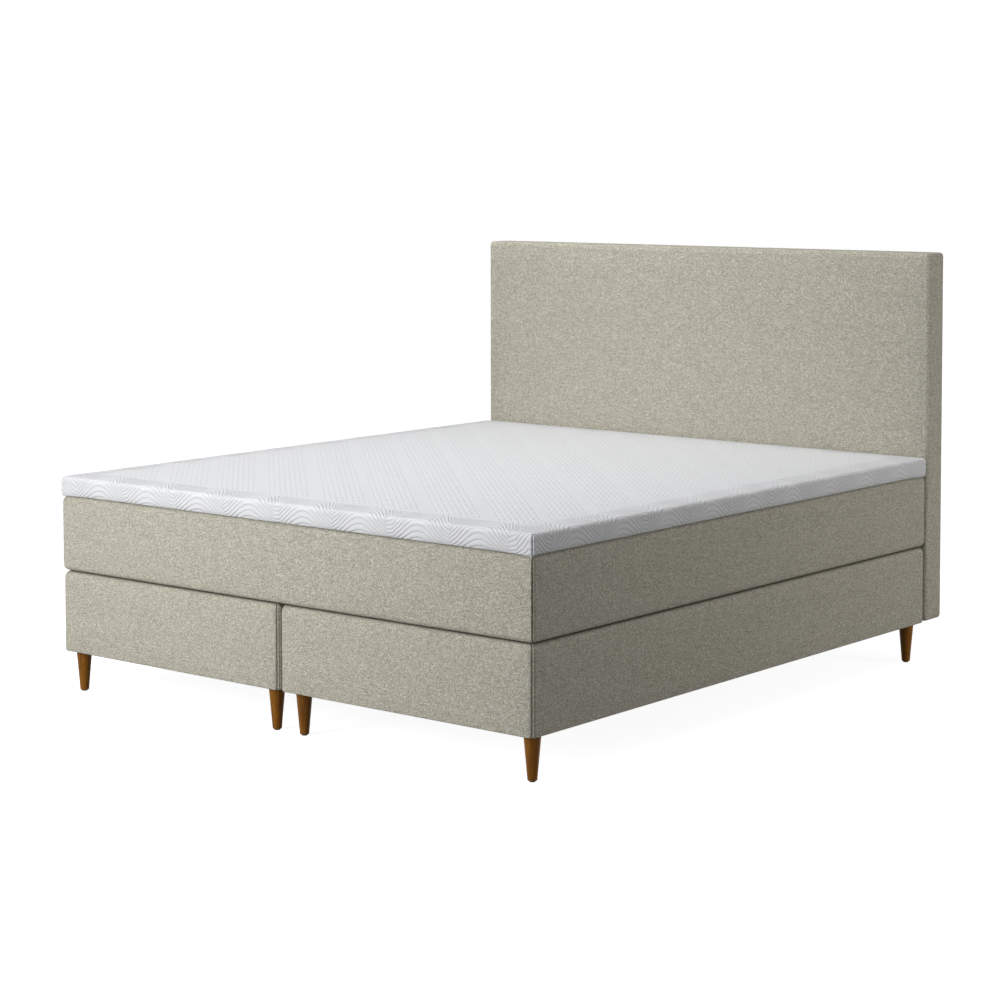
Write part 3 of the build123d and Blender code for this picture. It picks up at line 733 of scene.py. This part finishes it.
def plain_cloth_material(name, colour, thread=0.0012):
    """Plain cloth for linings and platforms: a fine even weave."""
    m = Nodes(name)
    shadow = darker(colour, 0.7)
    place = m.add("TexCoord").outputs["Object"]
    fine = m.noise(m.scaled(place, (1 / thread,) * 3), detail=2)
    broad = m.noise(m.scaled(place, (5, 5, 5)), detail=3)
    shade = m.mixed(m.step(fine, 0.3, 0.7), shadow, colour)
    shade = m.mixed(m.step(broad, 0.3, 0.7, 0, 0.15), shade, shadow)
    normal = m.bump(fine, thread / 3, 0.6)
    return m.finish(shade, 0.95, normal, Sheen_Weight=0.15, Specular_IOR_Level=0.15)


def foam_material(name, colour):
    """Open-cell foam: fine pores, with painted shade in their hollows."""
    m = Nodes(name)
    place = m.add("TexCoord").outputs["Object"]
    pores = m.add("TexVoronoi", {"Vector": place, "Scale": 600}).outputs["Distance"]
    # Painted shade: the pores' hollows are painted darker
    shade = m.mixed(m.step(pores, 0.05, 0.5), darker(colour, 0.75), colour)
    return m.finish(shade, 0.95, m.bump(pores, 0.0006, 0.6), Specular_IOR_Level=0.15)


def wood_material(name, light, dark, grain=(60, 60, 3.2)):
    """Straight-grained wood along Z, with fine pores and slow rings."""
    m = Nodes(name)
    place = m.add("TexCoord").outputs["Object"]
    bend = m.noise(m.scaled(place, (9, 9, 2)), detail=2)
    rings = m.noise(m.scaled(place, grain), detail=4, roughness=0.65)
    pores = m.noise(m.scaled(place, (700, 700, 26)), detail=2, roughness=0.6)
    mix = m.maths("MULTIPLY_ADD", bend, 0.35, m.maths("MULTIPLY", rings, 0.75))
    shade = m.ramp(mix, [(0.36, dark), (0.56, light)])
    shade = m.mixed(m.step(pores, 0.52, 0.70, 0.0, 0.55), shade, darker(dark, 0.45))
    rough = m.step(rings, 0.3, 0.7, 0.42, 0.58)
    return m.finish(shade, rough, m.bump(pores, 0.0004, 0.5), Specular_IOR_Level=0.12)


def metal_material(name, colour, roughness):
    """Plated steel with a faint brushed unevenness."""
    m = Nodes(name)
    place = m.add("TexCoord").outputs["Object"]
    brushed = m.noise(m.scaled(place, (900, 60, 60)), detail=2)
    rough = m.step(brushed, 0.3, 0.7, roughness * 0.8, roughness * 1.3)
    return m.finish(colour, rough, m.bump(brushed, 0.0001, 0.3), Metallic=1.0)


def plastic_material(name, colour):
    """Moulded plastic with a fine spark-eroded grain."""
    m = Nodes(name)
    place = m.add("TexCoord").outputs["Object"]
    grain = m.noise(m.scaled(place, (900, 900, 900)), detail=1)
    shade = m.mixed(m.step(grain, 0.3, 0.7, 0, 0.3), colour, darker(colour, 0.7))
    return m.finish(shade, 0.55, m.bump(grain, 0.0002, 0.4))


melange = melange_material("melange_cloth")
slot_materials = {
    "base_fabric": melange,
    "mattress_fabric": melange,
    "headboard_fabric": melange,
    "platform_fabric": plain_cloth_material("platform_cloth", (0.42, 0.40, 0.33)),
    "lining_cloth": plain_cloth_material("lining_cloth", (0.055, 0.055, 0.060)),
    "quilt_fabric": quilt_material("quilted_knit"),
    "pocket_fabric": plain_cloth_material("pocket_cloth", (0.72, 0.72, 0.70)),
    "felt": plain_cloth_material("felt", (0.36, 0.33, 0.30), thread=0.002),
    "foam": foam_material("foam", (0.80, 0.76, 0.60)),
    "softwood": wood_material("softwood", (0.72, 0.52, 0.30), (0.56, 0.37, 0.19), (40, 40, 4)),
    "board": wood_material("board", (0.50, 0.36, 0.22), (0.38, 0.26, 0.15), (30, 30, 30)),
    "oak": wood_material("stained_oak", (0.245, 0.096, 0.010), (0.072, 0.024, 0.002)),
    "zinc_steel": metal_material("zinc_steel", (0.62, 0.62, 0.64), 0.35),
    "glide_plastic": plastic_material("glide_plastic", (0.035, 0.032, 0.030)),
}
for subpart in frame["record"]["subparts"]:
    part_mesh = nodes[subpart["node"]].data
    part_mesh.materials.clear()
    part_mesh.materials.append(slot_materials[subpart["material_slot"]])


def dress(piece, body, slot, *replaced):
    """Finishes a piece: its material, its body and the solids that it stands for."""
    piece.data.materials.clear()
    piece.data.materials.append(slot_materials[slot])
    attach(piece, body)
    if replaced:
        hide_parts(*replaced)
    return piece


# Padded forms, before the cloth simulation


def upright(low, high):
    """Places a shell's points in a box, with its own Z up."""
    middle = ((low.x + high.x) / 2, (low.y + high.y) / 2)
    return lambda points: points + np.array([*middle, low.z])


def leaning_back(low, high):
    """Places a shell's points in a box, its bottom face at the back and its top to the foot."""
    middle = ((low.x + high.x) / 2, (low.z + high.z) / 2)

    def place(points):
        x, up, out = points.T
        return np.stack([middle[0] + x, high.y - out, middle[1] + up], axis=1)

    return place


def wall_pins(shell, free_top=False):
    """Pins the faces, the turned-in edges and the corner seams, and leaves the walls free."""
    rims = shell.vertex_rim
    free = (rims > shell.ring_rims[ROUND_STEPS]) & (rims < shell.ring_rims[-ROUND_STEPS - 1])
    if free_top:
        free |= rims > shell.face_rim
    near_seam = abs(shell.seam_gap) < SEAM_COLUMNS[-1]
    near_corner = np.zeros(len(rims), bool)
    near_corner[: shell.first_bottom] = np.tile(near_seam, len(shell.profile))
    return np.where(free & ~near_corner, 0.0, 1.0)


def seam_lines(shell, seam, row, low_crease_shade=0.0, high_crease_shade=0.0):
    """A value for each point of the walls: seam in the corner seams, row in the topstitching beside
    them, and painted shade in the creases where the lower and the upper edge lie against the next
    piece. As the seam attribute, the values are painted shade; sew_corners uses seam and row as
    depths."""
    across = seam * np.exp(-((shell.seam_gap / SEAM_WIDTH) ** 2))
    across += row * np.exp(-(((shell.seam_gap - TOPSTITCH_PLACE) / SEAM_WIDTH) ** 2))
    ring = np.arange(len(shell.profile))
    fade = np.clip(ring / SEAM_END_RINGS, 0, 1) * np.clip((ring[-1] - ring) / SEAM_END_RINGS, 0, 1)
    heights = np.array([height for _, height in shell.profile])
    # Painted shade along the creases of the lower and the upper edge
    creases = low_crease_shade * np.exp(-((heights / CREASE_SHADE_WIDTH) ** 2))
    creases += high_crease_shade * np.exp(-(((heights[-1] - heights) / CREASE_SHADE_WIDTH) ** 2))
    values = np.zeros(len(shell.points))
    values[: shell.first_bottom] = np.maximum(np.outer(fade, across), creases[:, None]).ravel()
    return values


def arch_swing(shell):
    """0 at the middle of each quilted arch of the nearest side, and 1 halfway between two."""
    away = shell.vertex_away
    along = away.max(axis=1)
    lengths = 2 * shell.inner[::-1]
    between = lengths - 2 * ARCH_FROM_CORNER
    waves = between / np.round(between / ARCH_WAVELENGTH)
    wavelength = np.where(away[:, 0] < away[:, 1], waves[0], waves[1])
    return np.sin(math.pi * (along - ARCH_FROM_CORNER) / wavelength) ** 2


def wall_directions(shell, place):
    """The outward direction of the walls in the bed's frame, at each of the shell's points."""
    return place(shell.wall_outward()) - place(np.zeros_like(shell.points))


def sew_corners(name, piece, shell, place, body, slot):
    """Sinks the seams into the upright corners, and lays the topstitching in its crease."""
    count = len(shell.core)
    depth = seam_lines(shell, SEAM_DEPTH, TOPSTITCH_DEPTH)
    points = read_points(piece.data) - wall_directions(shell, place) * depth[:, None]
    write_points(piece.data, points)
    columns = np.flatnonzero(abs(shell.seam_gap - TOPSTITCH_PLACE) < TOPSTITCH_NEAR)
    rings = range(SEAM_END_RINGS, len(shell.profile) - SEAM_END_RINGS)
    paths = [[points[ring * count + k] for ring in rings] for k in columns]
    dress(stitches(f"{name}_topstitching", paths), body, slot)


shells = {}
jobs = []


def padded_piece(name, shell, place, pinned, largest, **values):
    """Makes a shell's piece, and lists it for the cloth simulation."""
    piece = shell.make(name, place, **values)
    shells[name] = (piece, shell, place)
    jobs.append((piece, pinned, largest))


for side in ("left", "right"):
    low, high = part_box(f"{side}_base_cover")
    base_shell = Shell(
        (high.x - low.x) / 2 - BASE_SWELL,
        (high.y - low.y) / 2 - BASE_SWELL,
        BASE_CORNER,
        rounded_profile(high.z - low.z, BASE_TOP_ROUND, BASE_BOTTOM_ROUND),
        lips=(LINING_LIP, PLATFORM_LIP),
    )
    base_shell.step_in(PLATFORM_LIP, PLATFORM_DIP, top=True)
    base_shell.step_in(LINING_LIP, LINING_DIP, top=False)
    padded_piece(
        f"{side}_base_upholstery",
        base_shell,
        upright(low, high),
        wall_pins(base_shell),
        BASE_SWELL,
        # Painted shade in the corner seams, the topstitching and the crease along the top edge
        seam=seam_lines(base_shell, BASE_SEAM_SHADE, TOPSTITCH_SHADE, high_crease_shade=1.0),
    )

low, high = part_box("mattress_border")
mattress_shell = Shell(
    (high.x - low.x) / 2 - MATTRESS_SWELL,
    (high.y - low.y) / 2 - MATTRESS_SWELL,
    MATTRESS_CORNER,
    rounded_profile(high.z - low.z, MATTRESS_ROUND, MATTRESS_ROUND),
    lips=(PANEL_LIP,),
)
mattress_shell.step_in(PANEL_LIP, PANEL_DIP, top=False)
padded_piece(
    "mattress_upholstery",
    mattress_shell,
    upright(low, high),
    wall_pins(mattress_shell),
    MATTRESS_SWELL,
    # Painted shade in the corner seams, the topstitching and the creases along both edges
    seam=seam_lines(mattress_shell, 1.0, TOPSTITCH_SHADE, low_crease_shade=1.0, high_crease_shade=0.3),
)

low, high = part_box("topper_cover")
topper_shell = Shell(
    (high.x - low.x) / 2 - TOPPER_INSET,
    (high.y - low.y) / 2 - TOPPER_INSET,
    TOPPER_CORNER,
    rounded_profile(
        high.z - low.z - TOPPER_CAD_CROWN,
        TOPPER_TOP_ROUND,
        TOPPER_BOTTOM_ROUND,
        TOPPER_BOTTOM_DEPTH,
    ),
)
on_top = np.arange(len(topper_shell.points)) >= topper_shell.first_top
from_edge = np.clip(topper_shell.vertex_rim - topper_shell.face_rim, 0, None)
crown = TOPPER_CROWN * (1 - np.exp(-from_edge / CROWN_REACH))
topper_shell.points[:, 2] += np.where(on_top, crown, 0)
padded_piece(
    "topper_quilt",
    topper_shell,
    upright(low, high),
    wall_pins(topper_shell),
    TOPPER_SWELL,
    rim=topper_shell.vertex_rim,
    swing=arch_swing(topper_shell),
)

low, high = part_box("headboard_cover")
headboard_shell = Shell(
    (high.x - low.x) / 2 - HEADBOARD_INSET,
    (high.z - low.z) / 2 - HEADBOARD_INSET,
    HEADBOARD_CORNER,
    rounded_profile(high.y - low.y - HEADBOARD_SWELL / 2, HEADBOARD_ROUND, HEADBOARD_BACK_ROUND),
    lips=(BACK_LIP,),
    seamed=False,
)
headboard_shell.step_in(BACK_LIP, LINING_DIP, top=False)
padded_piece(
    "headboard_upholstery",
    headboard_shell,
    leaning_back(low, high),
    wall_pins(headboard_shell, free_top=True),
    HEADBOARD_SWELL,
)

swell(jobs)

# Seams and unevenness, after the simulation


def roughen(piece, shell, place, seed):
    """Adds broad unevenness along the outward direction of the walls."""
    points = read_points(piece.data)
    walls = np.arange(shell.first_bottom)
    share = shell.vertex_rim[walls] / shell.ring_rims[-1]
    lift = np.zeros(len(points))
    lift[walls] = slow_noise(points[walls], ROUGH_SCALE, seed) * ROUGH_HEIGHT
    lift[walls] *= np.sin(share * math.pi)
    write_points(piece.data, points + wall_directions(shell, place) * lift[:, None])


def droop_hem(piece, shell):
    """Lets the topper's lower edge hang unevenly, most at its corners."""
    points = read_points(piece.data)
    low_round = shell.profile[ROUND_STEPS][1]
    height = shell.points[:, 2]
    weight = np.clip(1 - shell.inset / TOPPER_BOTTOM_DEPTH, 0, 1)
    weight *= np.clip(2 - height / low_round, 0, 1)
    weight[shell.first_bottom :] = 0
    run = np.zeros(len(shell.points))
    run[: shell.first_bottom] = np.tile(shell.run, len(shell.profile))
    wave = slow_noise(np.column_stack([run, 0 * run, 0 * run]), HEM_WAVE_LENGTH, HEM_SEED)
    nearest = np.min([abs(run - corner) for corner in shell.corner_runs], axis=0)
    sag = CORNER_SAG * np.exp(-((nearest / CORNER_SAG_REACH) ** 2))
    points[:, 2] -= weight * (HEM_DROOP + wave * HEM_WAVE + sag)
    write_points(piece.data, points)


# Each piece's short name, body, slot, fill and the solids that it stands for
finishes = {
    "left_base_upholstery": ("left_base", "bed_base", "base_fabric", 0.95, ["left_base_cover"]),
    "right_base_upholstery": ("right_base", "bed_base", "base_fabric", 0.95, ["right_base_cover"]),
    "mattress_upholstery": (
        "mattress",
        "mattress",
        "mattress_fabric",
        0.9,
        ["mattress_border", "mattress_top_panel"],
    ),
    "topper_quilt": (
        "topper",
        "topper",
        "quilt_fabric",
        0.85,
        ["topper_cover", "topper_underside"],
    ),
    "headboard_upholstery": (
        "headboard",
        "bed_base",
        "headboard_fabric",
        0.95,
        ["headboard_cover"],
    ),
}
for seed, (title, finish) in enumerate(finishes.items(), 1):
    name, body, slot, filled, replaced = finish
    piece, shell, place = shells[title]
    if name != "headboard":
        roughen(piece, shell, place, seed)
        sew_corners(name, piece, shell, place, body, slot)
    if name == "topper":
        droop_hem(piece, shell)
    subdivide(piece)
    dress(piece, body, slot, *replaced)

# Screws that hold the joining plates

low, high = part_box("joining_plates")
screw_places = [
    (x * SCREW_SPREAD[0], end + y * SCREW_SPREAD[1], low.z)
    for end in (low.y + SCREW_FROM_END, high.y - SCREW_FROM_END)
    for x in (-1, 1)
    for y in (-1, 1)
]
screw_head = [
    (SCREW_RADIUS * 0.3, -SCREW_RISE * 0.4),
    (SCREW_RADIUS * 0.4, -SCREW_RISE),
    (SCREW_RADIUS * 0.8, -SCREW_RISE * 0.8),
    (SCREW_RADIUS, -0.0004),
    (SCREW_RADIUS, 0.0003),
]
dress(turned("joining_screw_heads", screw_places, screw_head), "bed_base", "zinc_steel")

# Camera, light and floor


def make_camera():
    camera = bpy.data.objects.new("camera", bpy.data.cameras.new("camera"))
    bpy.context.scene.collection.objects.link(camera)
    camera.location = CAMERA_PLACE
    camera.rotation_euler = Euler((math.pi / 2 + CAMERA_PITCH, 0, CAMERA_YAW))
    camera.data.lens = CAMERA_LENS
    camera.data.sensor_width = 36
    camera.data.shift_x, camera.data.shift_y = CAMERA_SHIFT
    camera.data.clip_end = CAMERA_REACH
    bpy.context.scene.camera = camera


def make_daylight():
    daylight = bpy.data.objects.new("daylight", bpy.data.lights.new("daylight", "SUN"))
    bpy.context.scene.collection.objects.link(daylight)
    daylight.rotation_euler = Vector(DAYLIGHT_DIRECTION).to_track_quat("Z", "Y").to_euler()
    daylight.data.energy = DAYLIGHT_STRENGTH
    daylight.data.angle = DAYLIGHT_SOFTNESS


def make_softbox(name, place, target, size, power, colour):
    softbox = bpy.data.objects.new(name, bpy.data.lights.new(name, "AREA"))
    bpy.context.scene.collection.objects.link(softbox)
    softbox.location = place
    softbox.rotation_euler = (Vector(place) - Vector(target)).to_track_quat("Z", "Y").to_euler()
    softbox.data.energy = power
    softbox.data.size = size
    softbox.data.color = colour
    softbox.visible_camera = False


def shown_directly(tree):
    """1 where the camera sees a thing itself, in a gloss or through glass, and 0 elsewhere."""
    path = tree.nodes.new("ShaderNodeLightPath")
    seen = path.outputs["Is Camera Ray"]
    for other in ("Is Glossy Ray", "Is Transmission Ray"):
        either = tree.nodes.new("ShaderNodeMath")
        either.operation = "MAXIMUM"
        tree.links.new(seen, either.inputs[0])
        tree.links.new(path.outputs[other], either.inputs[1])
        seen = either.outputs[0]
    return seen


def make_sky():
    world = bpy.data.worlds.new("sky")
    bpy.context.scene.world = world
    world.use_nodes = True
    tree = world.node_tree
    background = tree.nodes["Background"]
    background.inputs["Color"].default_value = (1, 1, 1, 1)
    strength = tree.nodes.new("ShaderNodeMapRange")
    strength.inputs["To Min"].default_value = SKY_STRENGTH
    strength.inputs["To Max"].default_value = 1.0
    tree.links.new(shown_directly(tree), strength.inputs["Value"])
    tree.links.new(strength.outputs["Result"], background.inputs["Strength"])


def make_floor():
    """A floor that lights the bed as a grey one, and shows nearly white with a shadow on it."""
    corners = [(x * FLOOR_SIZE, y * FLOOR_SIZE, 0) for x, y in ((-1, -1), (1, -1), (1, 1), (-1, 1))]
    floor = mesh_object("floor", corners, [(0, 1, 2, 3)])
    material = bpy.data.materials.new("floor")
    material.use_nodes = True
    tree = material.node_tree
    bounce, shown = tree.nodes["Principled BSDF"], tree.nodes.new("ShaderNodeBsdfDiffuse")
    bounce.inputs["Base Color"].default_value = (*(FLOOR_COLOUR,) * 3, 1)
    bounce.inputs["Roughness"].default_value = 1.0
    bounce.inputs["Specular IOR Level"].default_value = 0.0
    shown.inputs["Color"].default_value = (*(FLOOR_SHOWN_COLOUR,) * 3, 1)
    glow = tree.nodes.new("ShaderNodeEmission")
    glow.inputs["Strength"].default_value = FLOOR_GLOW
    both = tree.nodes.new("ShaderNodeAddShader")
    tree.links.new(shown.outputs[0], both.inputs[0])
    tree.links.new(glow.outputs[0], both.inputs[1])
    choose = tree.nodes.new("ShaderNodeMixShader")
    tree.links.new(shown_directly(tree), choose.inputs[0])
    tree.links.new(bounce.outputs[0], choose.inputs[1])
    tree.links.new(both.outputs[0], choose.inputs[2])
    tree.links.new(choose.outputs[0], tree.nodes["Material Output"].inputs["Surface"])
    floor.data.materials.append(material)


make_camera()
make_daylight()
for name, settings in SOFTBOXES.items():
    make_softbox(name, *settings)
make_sky()
make_floor()
bpy.context.scene.view_settings.view_transform = "Standard"
